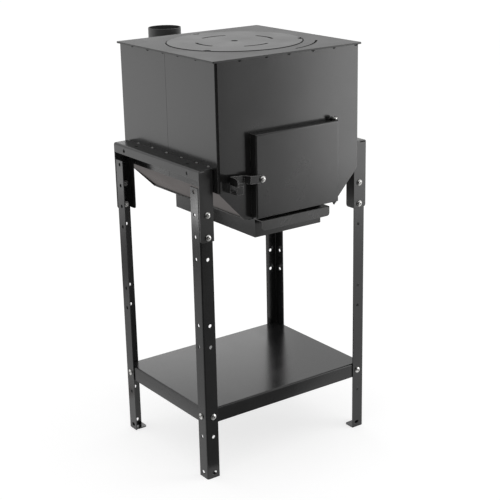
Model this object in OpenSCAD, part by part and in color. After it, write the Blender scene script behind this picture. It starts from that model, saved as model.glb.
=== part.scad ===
/* [Firebox] */
// Outer width of the sheet-steel firebox
body_w = 384; // [340:1:440]
// Outer depth of the firebox
body_d = 388; // [340:1:440]
// Thickness of the firebox sheet
wall_t = 2; // [1.5:0.5:3]
// Outer radius of the four upright bends
wall_bend_r = 5; // [4:0.5:10]
// Height of the upright side walls
body_h = 276; // [240:1:310]
// Half width of the flat base between the hopper sides
base_half_w = 126; // [116:1:140]
// How far the rear wall leans in towards the base below the side walls
rear_lean = 19; // [0:1:26]
// Width of the air and ash opening in the base
ash_hole_w = 160; // [120:1:180]
// Depth of the air and ash opening in the base
ash_hole_d = 280; // [200:1:300]
// Corner radius of the opening in the base
ash_hole_r = 8; // [2:1:20]

/* [Top plate and hob] */
// How far the top plate stands over the side walls
top_over_x = 6; // [2:0.5:15]
// How far the top plate stands over the front and rear walls
top_over_y = 2; // [1:0.5:15]
// Thickness of the top plate and of the hob disc
top_t = 4; // [3:0.5:8]
// Corner radius of the top plate
top_r = 2; // [1:0.5:6]
// Radius of the hob disc
disc_r = 154; // [120:1:160]
// Radial gap round the hob disc
disc_gap = 1.5; // [0.5:0.1:3]
// How far the face of the disc lies below the face of the top plate
disc_sink = 3.5; // [1:0.5:6]
// Hob centre behind the middle of the firebox
disc_back = 10; // [0:1:12]
// Radius of the three tool notches in the rim of the disc
notch_r = 10; // [6:0.5:12]
// Direction of the first tool notch
notch_angle = -28; // [-60:0.5:60]
// Width of the seat ring under the edge of the disc
seat_w = 24; // [16:1:26]
// Thickness of the seat ring
seat_t = 3; // [2:0.5:5]
// Radius of the ring of air slots in the disc
slot_ring_r = 88; // [60:1:110]
// Number of curved slots in the disc
slot_count = 4; // [2:1:4]
// Width of every curved slot
slot_w = 4; // [2:0.5:8]
// Half the angle that a disc slot covers
slot_half_angle = 20; // [8:1:30]
// Diameter of the lifter hole in the middle of the disc
lifter_d = 16; // [8:1:30]
// Radius of the curved slot beside the disc, about the hob centre
side_slot_r = 183.5; // [178:0.5:184]
// Width of the curved slot beside the disc
side_slot_w = 3; // [1:0.5:4]
// Direction where the slot beside the disc starts
side_slot_from = -79; // [-85:1:-60]
// Direction where the slot beside the disc ends
side_slot_to = -39; // [-50:1:-30]

/* [Grate] */
// How far the grate bears on the base at each side
grate_bearing = 12; // [6:1:20]
// Thickness of the cast grate
grate_t = 10; // [6:1:16]
// Width of one air gap in the grate
grate_gap = 9; // [6:1:14]
// Pitch of the gaps in the grate
grate_pitch = 21; // [16:1:30]
// Corner radius of the grate
grate_r = 10; // [2:1:20]

/* [Flue] */
// Outer diameter of the spigot that the flue pipe slips over
flue_d = 80; // [70:1:125]
// Wall of the flue spigot
flue_t = 2; // [1.5:0.5:4]
// Distance of the flue axis behind the rear wall
flue_back = 113; // [90:1:130]
// Length of the spigot above the smoke box
spigot_l = 47.5; // [30:0.5:80]
// Depth of the top of the smoke box below the top plate
smoke_drop = 41; // [26:1:70]
// Height of the smoke box where it meets the rear wall
smoke_h = 120; // [90:1:150]
// Margin of the smoke box round the spigot
smoke_margin = 22; // [8:1:30]
// How much higher the back of the smoke box ends than its mouth
smoke_rise = 50; // [20:1:70]

/* [Door] */
// Left edge of the door, from the middle of the firebox
door_left = 109; // [100:1:120]
// Right edge of the door, from the middle of the firebox
door_right = 117.4; // [105:0.2:125]
// Height of the lower edge of the door above the underside of the base
door_rise = 2; // [1.5:0.5:6]
// Height of the door
door_h = 185; // [160:1:200]
// Depth of the folded door pan
door_depth = 20.5; // [18:0.5:26]
// Sheet thickness of the door
door_t = 2; // [1.5:0.5:3]
// Outer bend radius of the door pan
door_bend_r = 3.5; // [2.5:0.5:5]
// Gap between the door pan and the front wall
door_gap = 1; // [0.6:0.1:2]
// Margin between the door outline and the stoke hole
stoke_margin = 18; // [14:1:30]
// Corner radius of the stoke hole
stoke_r = 10; // [4:1:20]

/* [Hinge] */
// Diameter of the hinge rod
pin_d = 6; // [5:0.5:8]
// Radial clearance of the door on the hinge rod
pin_fit = 0.08; // [0.03:0.01:0.1]
// Distance of the hinge rod from the right edge of the door
pin_inset = 5.4; // [5.4:0.1:9]
// Distance of the hinge rod in front of the front wall
pin_out = 12.3; // [12:0.1:14]
// Radius of the rounded lug ends
lug_r = 5; // [4.5:0.1:5]
// Thickness of a hinge lug
lug_t = 3; // [2:0.5:4]
// Running gap between a lug and the door flange
lug_gap = 0.3; // [0.2:0.05:0.5]
// Clearance of the hinge rod in its lugs, in the diameter
lug_fit = 0.1; // [0:0.02:0.2]
// Diameter of the head of the hinge rod
pin_head_d = 13; // [8:0.5:14]
// Height of the head of the hinge rod
pin_head_h = 4.4; // [2:0.1:6]
// How far the rod shows under the door
pin_tail = 7.5; // [5:0.5:12]

/* [Latch] */
// Distance of the latch pivot from the left edge of the door
latch_inset = 13.5; // [13:0.5:25]
// Height of the latch pivot above the lower edge of the door
latch_up = 88; // [60:0.5:130]
// Height of the latch strap
strap_h = 17.4; // [14:0.2:18]
// Thickness of the latch strap
strap_t = 3; // [2:0.5:4]
// Length of the strap from the pivot to the step
strap_step_x = 31; // [30:0.5:40]
// How far the strap steps back towards the front wall
strap_step = 13.8; // [8:0.2:14]
// Length of the strap from the pivot to the finger tab
strap_len = 75.3; // [72:0.1:90]
// How far the finger tab stands forward
tab_out = 30; // [20:0.5:40]
// Tilt of the strap as it stands clear of the keeper
strap_tilt = 4.5; // [3.5:0.1:6]
// Inner radius of the bend of the finger tab
tab_bend_r = 2; // [1:0.5:4]
// Radius of the rounded upper corner of the finger tab
tab_round = 11; // [6:1:15]
// Running gap of the strap on the door
strap_gap = 0.3; // [0.2:0.05:0.5]
// Radial clearance of the strap on its bolt
pivot_fit = 0.08; // [0.03:0.01:0.1]
// Left edge of the keeper hook, from the latch pivot
keeper_from = 69; // [66:0.5:69]
// Width of the keeper hook
keeper_w = 18; // [12:0.5:22]
// Depth of the keeper hook in front of the front wall
keeper_out = 27; // [25:0.5:32]
// Thickness of the keeper hook
keeper_t = 3; // [2:0.5:4]
// Height of the lip of the keeper hook
keeper_lip = 18.5; // [12:0.5:22]
// Gap between the lip and the lifted strap
keeper_clear = 1; // [0.5:0.1:2]

/* [Ash drawer] */
// Outer width of the drawer body
drawer_w = 183; // [140:1:186]
// Distance of the drawer front behind the front wall
drawer_set = 12; // [6:1:20]
// Length of the drawer body
drawer_len = 320; // [260:1:330]
// Height of the drawer body
drawer_h = 42.5; // [30:0.5:60]
// Sheet thickness of the drawer
drawer_t = 1.5; // [1:0.5:2]
// Gap between the base and the top of the drawer
drawer_drop = 7.5; // [6:0.5:12]
// Width of the hanging flange at each side of the drawer
flange_w = 6.5; // [5:0.5:10]
// Running gap between the drawer flange and its rails
rail_gap = 0.3; // [0.2:0.05:0.6]
// Gap between the edge of the drawer flange and the upright of its rail
rail_side_gap = 1; // [0.5:0.1:2]
// Gap between the side of the drawer and the lip of its rail
rail_lip_gap = 2.5; // [1:0.5:3]
// Gap between the closed drawer and the stops of its rails
stop_gap = 2; // [1:0.5:4]
// Thickness of the rails
rail_t = 1.5; // [1:0.5:2]
// Width of the weld flange of a rail
rail_flange = 12; // [8:1:16]
// How far the drawer handle stands in front of the drawer
handle_out = 30; // [18:0.5:36]
// Height of the hanging handle plate
handle_h = 22; // [12:0.5:30]
// Thickness of the handle plate
handle_t = 2; // [1.5:0.5:3]
// Corner radius of the handle plate
handle_r = 7; // [2:0.5:9]

/* [Side brackets] */
// Clearance between the side walls and the arms of the side brackets
arm_clear = 3.5; // [3:0.5:12]
// Setback of the bracket arms from the front wall and from the rear wall
arm_set = 17; // [8:1:30]
// Distance of the lower leg bolt above the end of a bracket arm
arm_end = 10; // [8:0.5:14]
// Depth of the stiffening return on the inner edge of an arm
arm_return = 28; // [12:1:34]
// Corner radius of the bracket arms
arm_r = 6; // [3:0.5:10]
// Height of the top of the brackets above the tops of the legs
bracket_rise = 39; // [30:0.5:50]
// Height of the top of the brackets above the lower ends of the side walls
bracket_up = 53; // [35:0.5:75]
// Height of the outer lip of a side bracket
bracket_lip = 22; // [16:0.5:34]
// Sheet thickness of the side brackets
bracket_t = 2.5; // [2:0.5:3]
// Outer bend radius of the side brackets
bracket_bend_r = 5; // [4:0.5:8]
// Distance between the two holes in the top of a bracket
top_hole_pitch = 214; // [150:1:260]
// Distance between the two holes in the lip of a bracket
lip_hole_pitch = 264; // [180:1:300]
// Depth of the lip holes below the top of the bracket
lip_hole_drop = 13; // [10:0.5:14]

/* [Legs and shelf] */
// Length of a leg, from the floor to its top
leg_l = 682; // [640:1:720]
// Width of each flange of a leg angle
leg_w = 32; // [30:0.5:36]
// Thickness of a leg angle
leg_t = 2.5; // [2:0.5:3]
// Outer bend radius of a leg angle
leg_bend_r = 4; // [3.5:0.5:6]
// Distance of the hole rows from the outer corner of a leg
hole_edge = 19; // [17:0.5:20]
// Diameter of the holes in legs and brackets
hole_d = 8.5; // [8.2:0.1:9]
// Distance of the uppermost hole below the top of a leg
hole_top = 10; // [9:0.5:14]
// Pitch of the rows of holes
hole_pitch = 50; // [44:0.5:56]
// Height of the upper hole of the middle pair
mid_hole_z = 369.5; // [345:0.5:400]
// Height of the shelf bolts above the floor
shelf_bolt_z = 152; // [120:1:260]
// Height of the foot slots above the floor
foot_slot_z = 12.5; // [11:0.5:16]
// Length of the foot slots between their round ends
foot_slot_l = 4; // [2:0.5:6]
// Length of the foot tabs
foot_l = 27; // [18:1:32]
// Corner radius of the foot tabs
foot_r = 6; // [2:0.5:9]
// Height of the folded edge of the shelf
shelf_h = 35; // [26:1:44]
// Sheet thickness of the shelf
shelf_t = 2; // [1.5:0.5:3]
// Outer bend radius of the shelf edges
shelf_bend_r = 4; // [3:0.5:6]
// Width of the corner notches of the shelf
shelf_notch = 5; // [4:0.5:7]

/* [Fasteners] */
// Thread diameter of the bolts
bolt_d = 8; // [6:0.5:8]
// Clearance of the bolts in their bores, in the diameter
bolt_fit = 0.1; // [0.1:0.05:0.4]
// Diameter of the button heads
head_d = 14; // [11:0.5:16]
// Height of the button heads
head_h = 4.4; // [3:0.1:6]
// Radius of the crown of a button head as a share of its diameter
head_crown = 0.78; // [0.7:0.01:1]
// Width across the corners of the hexagon socket
socket_d = 5.8; // [4:0.1:6.5]
// Width across the flats of the nuts
nut_w = 13; // [10:0.5:13]
// Height of the nuts
nut_h = 6.5; // [4:0.1:7]
// Radius of the chamfer of a nut as a share of its width
nut_crown = 0.62; // [0.6:0.01:0.66]
// How far a bolt end stands out of its nut
bolt_tail = 2; // [0:0.5:3]

/* [Hidden] */
$fn = 64;
// Overshoot of every cutting shape
cut = 1;
half_w = body_w / 2;
half_d = body_d / 2;
front_y = -half_d;
bracket_z = leg_l + bracket_rise;
hopper_top_z = bracket_z - bracket_up;
wall_top_z = hopper_top_z + body_h;
hopper_drop = half_w - base_half_w;
base_z = hopper_top_z - hopper_drop;
base_low_z = base_z - wall_t;
top_z = wall_top_z + top_t;
disc_low_z = top_z - disc_sink - top_t;
arm_w = leg_w + bracket_t;
frame_d = body_d - 2 * arm_set;
leg_x = half_w + arm_clear + arm_w;
leg_y = frame_d / 2 - bracket_t;
hole_top_z = leg_l - hole_top;
arm_low_z = hole_top_z - 2 * hole_pitch - arm_end;
shelf_x = leg_x - leg_t;
shelf_y = leg_y - leg_t;
shelf_z = shelf_bolt_z + shelf_h / 2;
door_low_z = base_low_z + door_rise;
door_front_y = front_y - door_gap - door_depth;
door_back_y = front_y - door_gap;
door_top_z = door_low_z + door_h;
pin_x = door_right - pin_inset;
pin_y = front_y - pin_out;
pivot_x = -(door_left - latch_inset);
pivot_z = door_low_z + latch_up;
strap_y = door_front_y - strap_gap;
tab_front_y = strap_y + strap_step - tab_out - strap_t;
drawer_top_z = base_low_z - drawer_drop;
drawer_low_z = drawer_top_z - drawer_h;
drawer_front_y = front_y + drawer_set;
rail_x = drawer_w / 2 + flange_w + rail_side_gap;
smoke_top_z = wall_top_z - smoke_drop;
smoke_half_w = flue_d / 2 + smoke_margin;
smoke_back_y = half_d + flue_back + smoke_half_w;
keeper_x = pivot_x - keeper_from;
// Lowest point of the lifted strap over the hook
strap_low_z = pivot_z + (keeper_from - keeper_w) * sin(strap_tilt) - strap_h / 2 * cos(strap_tilt);
keeper_top_z = strap_low_z - keeper_clear;
keeper_low_z = keeper_top_z - keeper_lip;
// Middle of the whole depth, so that the origin lies under it
middle_y = (smoke_back_y + tab_front_y) / 2;
sides = [-1, 1];

// Everything is drawn about the middle of the firebox and moved to the origin here
module stove() {
  translate([0, -middle_y, 0]) children();
}

// Rectangle with round corners, centred, or from its lower left corner
module round_rect(size, r, center = true) {
  translate(center ? [-size[0] / 2, -size[1] / 2] : [0, 0]) {
    translate([r, 0]) square([size[0] - 2 * r, size[1]]);
    translate([0, r]) square([size[0], size[1] - 2 * r]);
    for (x = [r, size[0] - r], y = [r, size[1] - r]) translate([x, y]) circle(r = r);
  }
}

// Plate standing in a plane of constant Y, drawn in X and Z, from y towards +Y
module plate_y(y, t) {
  translate([0, y + t, 0]) rotate([90, 0, 0]) linear_extrude(t) children();
}

// Plate standing in a plane of constant X, drawn in Y and Z, from x towards +X
module plate_x(x, t) {
  translate([x, 0, 0]) rotate([90, 0, 90]) linear_extrude(t) children();
}

// Round bar along +Y from a point
module rod_y(p, d, l) {
  translate(p) rotate([-90, 0, 0]) cylinder(d = d, h = l);
}

// Round bar along +X from a point
module rod_x(p, d, l) {
  translate(p) rotate([0, 90, 0]) cylinder(d = d, h = l);
}

// Bore for a bolt through a sheet that stands in a plane of constant Y, centred in the sheet
module bolt_bore(t) {
  rod_y([0, -t, 0], bolt_d + bolt_fit, 2 * t);
}

// Curved slot about the Z axis, cut off square at its ends
module arc_slot(r, w, from, to, h) {
  reach = r + w;
  intersection() {
    difference() {
      cylinder(r = r + w / 2, h = h);
      translate([0, 0, -cut]) cylinder(r = r - w / 2, h = h + 2 * cut);
    }
    linear_extrude(h)
      polygon([
        [0, 0],
        reach * [cos(from), sin(from)],
        1.5 * reach * [cos((from + to) / 2), sin((from + to) / 2)],
        reach * [cos(to), sin(to)]
      ]);
  }
}

// Outline of the front and rear walls, tapering down to the base
module end_outline() {
  polygon([
    [-half_w, wall_top_z],
    [-half_w, hopper_top_z],
    [-base_half_w - wall_t, base_low_z],
    [base_half_w + wall_t, base_low_z],
    [half_w, hopper_top_z],
    [half_w, wall_top_z]
  ]);
}

// Front half of the firebox: one sheet bent into a U, as high as the side walls
module half_shell() {
  translate([0, 0, hopper_top_z])
    linear_extrude(wall_top_z - hopper_top_z)
      difference() {
        round_rect([body_w, body_d], wall_bend_r);
        round_rect([body_w - 2 * wall_t, body_d - 2 * wall_t], wall_bend_r - wall_t);
        translate([-half_w - cut, 0]) square([body_w + 2 * cut, half_d + cut]);
      }
}

// Slice through the hopper in Y and Z, its rear end leaning in, drawn in by a wall at the rear
module hopper_slice(t) {
  polygon([
    [-half_d, hopper_top_z],
    [half_d - t, hopper_top_z],
    [half_d - rear_lean - t, base_low_z],
    [-half_d, base_low_z]
  ]);
}

// Lower end of the front wall, down to the base
module front_end() {
  plate_y(front_y, wall_t)
    difference() {
      end_outline();
      translate([-body_w, hopper_top_z]) square([2 * body_w, wall_top_z]);
    }
}

// Lower end of the rear wall, leaning in towards the base
module rear_end() {
  intersection() {
    plate_y(-half_d, body_d) end_outline();
    plate_x(-half_w, body_w)
      difference() {
        hopper_slice(0);
        hopper_slice(wall_t);
      }
  }
}

module front_shell() {
  color("#2b2b2c") stove() difference() {
    union() {
      half_shell();
      front_end();
    }
    plate_y(front_y - cut, wall_t + 2 * cut)
      translate([-door_left + stoke_margin, door_low_z + stoke_margin])
        round_rect([door_left + door_right - 2 * stoke_margin, door_h - 2 * stoke_margin], stoke_r, false);
  }
}

module rear_shell() {
  color("#2b2b2c") stove() difference() {
    union() {
      mirror([0, 1, 0]) half_shell();
      rear_end();
    }
    translate([-smoke_half_w + wall_t, half_d - wall_t - cut, smoke_top_z - smoke_h + wall_t])
      cube([2 * smoke_half_w - 2 * wall_t, wall_t + 2 * cut, smoke_h - 2 * wall_t]);
  }
}

module top_plate() {
  color("#3a3a3b") stove() difference() {
    translate([0, 0, wall_top_z])
      linear_extrude(top_t)
        round_rect([body_w + 2 * top_over_x, body_d + 2 * top_over_y], top_r);
    translate([0, disc_back, wall_top_z - cut]) {
      cylinder(r = disc_r + disc_gap, h = top_t + 2 * cut, $fn = 128);
      arc_slot(side_slot_r, side_slot_w, side_slot_from, side_slot_to, top_t + 2 * cut);
    }
  }
}

// Flat ring about the hob centre, its underside at z
module hob_ring(z, inner, h) {
  translate([0, disc_back, z]) difference() {
    cylinder(r = disc_r + seat_w / 2, h = h, $fn = 128);
    translate([0, 0, -cut]) cylinder(r = inner, h = h + 2 * cut, $fn = 128);
  }
}

module hob_seat_ring() {
  color("#252526") stove() hob_ring(disc_low_z - seat_t, disc_r - seat_w / 2, seat_t);
}

// Collar that holds the seat ring below the top plate
module hob_collar() {
  color("#252526") stove() hob_ring(disc_low_z, disc_r + disc_gap, wall_top_z - disc_low_z);
}

module hob_disc() {
  color("#404041") stove() translate([0, disc_back, disc_low_z]) difference() {
    cylinder(r = disc_r, h = top_t, $fn = 128);
    for (i = [0:2])
      rotate(notch_angle + 120 * i) translate([disc_r, 0, -cut]) cylinder(r = notch_r, h = top_t + 2 * cut);
    for (i = [0:slot_count - 1])
      rotate(i * 360 / slot_count) translate([0, 0, -cut])
        arc_slot(slot_ring_r, slot_w, -slot_half_angle, slot_half_angle, top_t + 2 * cut);
    translate([0, 0, -cut]) cylinder(d = lifter_d, h = top_t + 2 * cut);
  }
}

// Sloping side of the hopper, between the end walls
module hopper_side() {
  slant = wall_t * sqrt(2);
  intersection() {
    plate_y(front_y + wall_t, body_d)
      polygon([
        [half_w, hopper_top_z],
        [base_half_w, base_z],
        [base_half_w - slant, base_z],
        [half_w - slant, hopper_top_z]
      ]);
    plate_x(0, half_w) hopper_slice(wall_t);
  }
}

module hopper_right() {
  color("#2f2f30") stove() hopper_side();
}

module hopper_left() {
  color("#2f2f30") stove() mirror([1, 0, 0]) hopper_side();
}

module base_plate() {
  color("#262627") stove() difference() {
    intersection() {
      translate([-base_half_w, front_y + wall_t, base_low_z]) cube([2 * base_half_w, body_d, wall_t]);
      plate_x(-base_half_w, 2 * base_half_w) hopper_slice(wall_t);
    }
    translate([0, 0, base_low_z - cut])
      linear_extrude(wall_t + 2 * cut) round_rect([ash_hole_w, ash_hole_d], ash_hole_r);
  }
}

module grate() {
  grate_w = ash_hole_w + 2 * grate_bearing;
  grate_d = ash_hole_d + 2 * grate_bearing;
  gap_l = ash_hole_w / 2 - grate_bearing;
  rows = floor((ash_hole_d - 2 * grate_bearing - grate_gap) / grate_pitch);
  color("#1d1d1e") stove() translate([0, 0, base_z]) linear_extrude(grate_t) difference() {
    round_rect([grate_w, grate_d], grate_r);
    for (side = sides, i = [0:rows])
      translate([side * (gap_l + grate_bearing) / 2, (i - rows / 2) * grate_pitch])
        round_rect([gap_l, grate_gap], 0.49 * grate_gap);
  }
}

// Side view of the smoke box, in Y and Z, drawn in by a wall
module smoke_outline(t) {
  top = smoke_top_z - t;
  low = smoke_top_z - smoke_h + t;
  back = smoke_back_y - t;
  polygon([
    [half_d, top],
    [half_d, low],
    [half_d + smoke_margin, low],
    [back, low + smoke_rise],
    [back, top]
  ]);
}

module smoke_box() {
  color("#2b2b2c") stove() difference() {
    plate_x(-smoke_half_w, 2 * smoke_half_w) smoke_outline(0);
    plate_x(-smoke_half_w + wall_t, 2 * smoke_half_w - 2 * wall_t)
      union() {
        smoke_outline(wall_t);
        translate([half_d - cut, smoke_top_z - smoke_h + wall_t])
          square([2 * cut, smoke_h - 2 * wall_t]);
      }
    translate([0, half_d + flue_back, smoke_top_z - wall_t - cut])
      cylinder(d = flue_d - 2 * flue_t, h = wall_t + 2 * cut);
  }
}

module flue_spigot() {
  color("#303031") stove() translate([0, half_d + flue_back, smoke_top_z]) difference() {
    cylinder(d = flue_d, h = spigot_l);
    translate([0, 0, -cut]) cylinder(d = flue_d - 2 * flue_t, h = spigot_l + 2 * cut);
  }
}

// Solid block in the outline of the door, drawn in by a wall, with its front edges bent round
module door_block(t, r) {
  w = door_left + door_right - 2 * t;
  h = door_h - 2 * t;
  d = door_depth + 2 * r;
  intersection() {
    translate([-door_left + t, door_front_y + t, door_low_z - cut])
      linear_extrude(door_h + 2 * cut) round_rect([w, d], r, false);
    plate_x(-door_left - cut, door_left + door_right + 2 * cut)
      translate([door_front_y + t, door_low_z + t]) round_rect([d, h], r, false);
  }
}

module door_pan() {
  corner = pin_out - door_gap;
  color("#333334") stove() difference() {
    door_block(0, door_bend_r);
    door_block(door_t, door_bend_r - door_t);
    translate([-door_left - cut, door_back_y, door_low_z - cut])
      cube([door_left + door_right + 2 * cut, door_depth + cut, door_h + 2 * cut]);
    // The hinge side is rounded about the rod, so that it swings past the front wall
    translate([pin_x, pin_y, door_low_z - cut]) difference() {
      cube([pin_inset + cut, door_depth, door_h + 2 * cut]);
      translate([0, 0, -cut]) cylinder(r = corner, h = door_h + 4 * cut);
    }
    translate([pin_x, pin_y, door_low_z - cut]) cylinder(r = pin_d / 2 + pin_fit, h = door_h + 2 * cut);
    translate([pivot_x, door_front_y + door_t / 2, pivot_z]) bolt_bore(door_t);
  }
}

// Button head with a hexagon socket, standing on the origin
module button_head(d, h) {
  difference() {
    intersection() {
      cylinder(d = d, h = h);
      translate([0, 0, h - d * head_crown]) sphere(r = d * head_crown);
    }
    translate([0, 0, h / 2]) cylinder(d = socket_d, h = h, $fn = 6);
  }
}

// Hinge lug welded to the front wall, its underside at z
module hinge_lug(z) {
  color("#2a2a2b") stove() translate([pin_x, pin_y, z]) difference() {
    union() {
      cylinder(r = lug_r, h = lug_t);
      translate([-lug_r, 0, 0]) cube([2 * lug_r, pin_out, lug_t]);
    }
    translate([0, 0, -cut]) cylinder(d = pin_d + lug_fit, h = lug_t + 2 * cut);
  }
}

module hinge_lug_upper() {
  hinge_lug(door_top_z + lug_gap);
}

module hinge_lug_lower() {
  hinge_lug(door_low_z - lug_gap - lug_t);
}

// Hinge rod with a button head that rests on the upper lug
module hinge_pin() {
  seat_z = door_top_z + lug_gap + lug_t;
  low_z = door_low_z - pin_tail;
  color("#8f8f92") stove() translate([pin_x, pin_y, 0]) {
    translate([0, 0, low_z]) cylinder(d = pin_d, h = seat_z - low_z);
    translate([0, 0, seat_z]) button_head(pin_head_d, pin_head_h);
  }
}

// Stepped strap of the latch, flat side along X, from behind the pivot to the bend of the finger tab
module strap_blade() {
  back = strap_y + strap_step;
  run = strap_step / 2;
  fold = strap_t * tan(atan2(strap_step, run) / 2);
  bend = tab_bend_r + strap_t;
  linear_extrude(strap_h)
    polygon([
      [strap_h, strap_y - strap_t],
      [-strap_step_x, strap_y - strap_t],
      [-strap_step_x - run, back - strap_t],
      [-strap_len + bend, back - strap_t],
      [-strap_len + bend, back],
      [-strap_step_x - run + fold, back],
      [-strap_step_x + fold, strap_y],
      [strap_h, strap_y]
    ]);
}

// Bent end of the latch strap with its finger tab, overlapping the blade
module strap_tab() {
  span = 2 * tab_out;
  bend = tab_bend_r + strap_t;
  linear_extrude(strap_h) intersection() {
    translate([-strap_len, tab_front_y]) square([2 * bend, tab_out + strap_t]);
    translate([-strap_len, tab_front_y + tab_out + strap_t - span]) difference() {
      round_rect([span, span], bend, false);
      translate([strap_t, -strap_t]) round_rect([span, span], tab_bend_r, false);
    }
  }
}

module latch_lever() {
  color("#2c2c2d") stove() translate([pivot_x, 0, pivot_z]) rotate([0, strap_tilt, 0]) difference() {
    intersection() {
      translate([0, 0, -strap_h / 2]) union() {
        strap_blade();
        strap_tab();
      }
      plate_y(2 * door_front_y, -2 * door_front_y)
        union() {
          circle(d = strap_h);
          translate([-strap_len - cut, -strap_h / 2]) square([strap_len + cut, strap_h]);
        }
    }
    // Rounded upper corner of the finger tab
    plate_x(-strap_len - cut, strap_t + 2 * cut)
      translate([tab_front_y - cut, strap_h / 2 - tab_round])
        difference() {
          square([tab_round + cut, tab_round + cut]);
          translate([tab_round + cut, 0]) circle(r = tab_round);
        }
    rod_y([0, strap_y - strap_t - cut, 0], bolt_d + 2 * pivot_fit, strap_t + 2 * cut);
  }
}

// Button-head bolt along +Y with the underside of its head at the origin
module button_bolt(l) {
  rod_y([0, 0, 0], bolt_d, l);
  rotate([90, 0, 0]) button_head(head_d, head_h);
}

// Hexagon nut along +Y from the origin, with its thread filled by the bolt
module hex_nut() {
  rotate([-90, 0, 0]) difference() {
    intersection() {
      cylinder(d = nut_w / cos(30), h = nut_h, $fn = 6);
      translate([0, 0, nut_h / 2]) sphere(r = nut_w * nut_crown);
    }
    translate([0, 0, -cut]) cylinder(d = bolt_d + bolt_fit, h = nut_h + 2 * cut);
  }
}

module latch_bolt() {
  color("#b9babd") stove() translate([pivot_x, strap_y - strap_t - strap_gap, pivot_z])
    button_bolt(strap_gap * 2 + strap_t + door_t + nut_h + bolt_tail);
}

module latch_nut() {
  color("#9c9da0") stove() translate([pivot_x, door_front_y + door_t, pivot_z]) hex_nut();
}

// Hook for the strap: a strip folded into a J and welded to the front wall
module latch_keeper() {
  color("#2c2c2d") stove() plate_x(keeper_x, keeper_w) {
    translate([front_y - keeper_out, keeper_low_z])
      square([keeper_t, keeper_lip]);
    translate([front_y - keeper_out, keeper_low_z]) square([keeper_out, keeper_t]);
    translate([front_y - keeper_t, keeper_low_z]) square([keeper_t, keeper_lip + 4]);
  }
}

module ash_drawer() {
  outer = drawer_w / 2;
  inner = outer - drawer_t;
  color("#303031") stove() translate([0, drawer_front_y, drawer_low_z]) difference() {
    union() {
      translate([-outer, 0, 0]) cube([drawer_w, drawer_len, drawer_h]);
      translate([-outer - flange_w, 0, drawer_h - drawer_t])
        cube([drawer_w + 2 * flange_w, drawer_len, drawer_t]);
    }
    translate([-inner, drawer_t, drawer_t])
      cube([2 * inner, drawer_len - 2 * drawer_t, drawer_h]);
    for (side = sides)
      translate([side > 0 ? outer : -outer - flange_w - cut, -cut, drawer_h - drawer_t - cut])
        cube([flange_w + cut, drawer_set + cut, drawer_t + 2 * cut]);
  }
}

// Hanging grip plate on a flange that lies on the front rim of the drawer
module drawer_handle() {
  grip_w = drawer_w + 4;
  front = drawer_front_y - handle_out;
  grip_top_z = drawer_top_z + handle_t;
  color("#353536") stove() difference() {
    union() {
      plate_y(front, handle_t)
        translate([-grip_w / 2, grip_top_z - handle_h])
          union() {
            round_rect([grip_w, handle_h], handle_r, false);
            translate([0, handle_h / 2]) square([grip_w, handle_h / 2]);
          }
      translate([-grip_w / 2, front, drawer_top_z]) cube([grip_w, handle_out + drawer_t, handle_t]);
    }
    translate([-grip_w / 2 - cut, front - cut, drawer_top_z]) difference() {
      cube([grip_w + 2 * cut, handle_t + cut, handle_t + cut]);
      translate([0, handle_t + cut, 0]) rotate([0, 90, 0]) cylinder(r = handle_t, h = grip_w + 2 * cut);
    }
  }
}

// Hanging rail for one flange of the drawer, welded under the base
module drawer_rail() {
  lip_z = drawer_top_z - drawer_t - rail_gap - rail_t;
  lip_in = drawer_w / 2 + rail_lip_gap;
  from = drawer_front_y + drawer_set;
  length = drawer_len - drawer_set + stop_gap + rail_t;
  translate([rail_x, from, lip_z]) cube([rail_t, length, base_low_z - lip_z]);
  translate([lip_in, from, lip_z]) cube([rail_x - lip_in + rail_t, length, rail_t]);
  translate([rail_x, from, base_low_z - rail_t]) cube([rail_flange, length, rail_t]);
  translate([lip_in, from + length - rail_t, lip_z])
    cube([rail_x - lip_in + rail_t, rail_t, base_low_z - lip_z - 2 * rail_t]);
}

module drawer_rail_right() {
  color("#29292a") stove() drawer_rail();
}

module drawer_rail_left() {
  color("#29292a") stove() mirror([1, 0, 0]) drawer_rail();
}

// Strip from its lower left corner, with its lower right corner round
module corner_strip(size, r) {
  translate([0, r]) square([size[0], size[1] - r]);
  square([size[0] - r, size[1]]);
  translate([size[0] - r, r]) circle(r = r);
}

// One arm of a side bracket, with the return along its inner edge, for the front
module bracket_arm() {
  arm_top = bracket_z - bracket_bend_r + bracket_t;
  inner_x = leg_x - arm_w;
  arm_y = -frame_d / 2;
  plate_y(arm_y, bracket_t)
    translate([inner_x, arm_low_z]) {
      corner_strip([arm_w, bracket_z - bracket_bend_r - arm_low_z], arm_r);
      square([arm_w / 2, arm_top - arm_low_z]);
    }
  plate_x(inner_x, bracket_t)
    translate([arm_y, arm_low_z]) corner_strip([arm_return, bracket_z - bracket_t - arm_low_z], arm_r);
}

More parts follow.
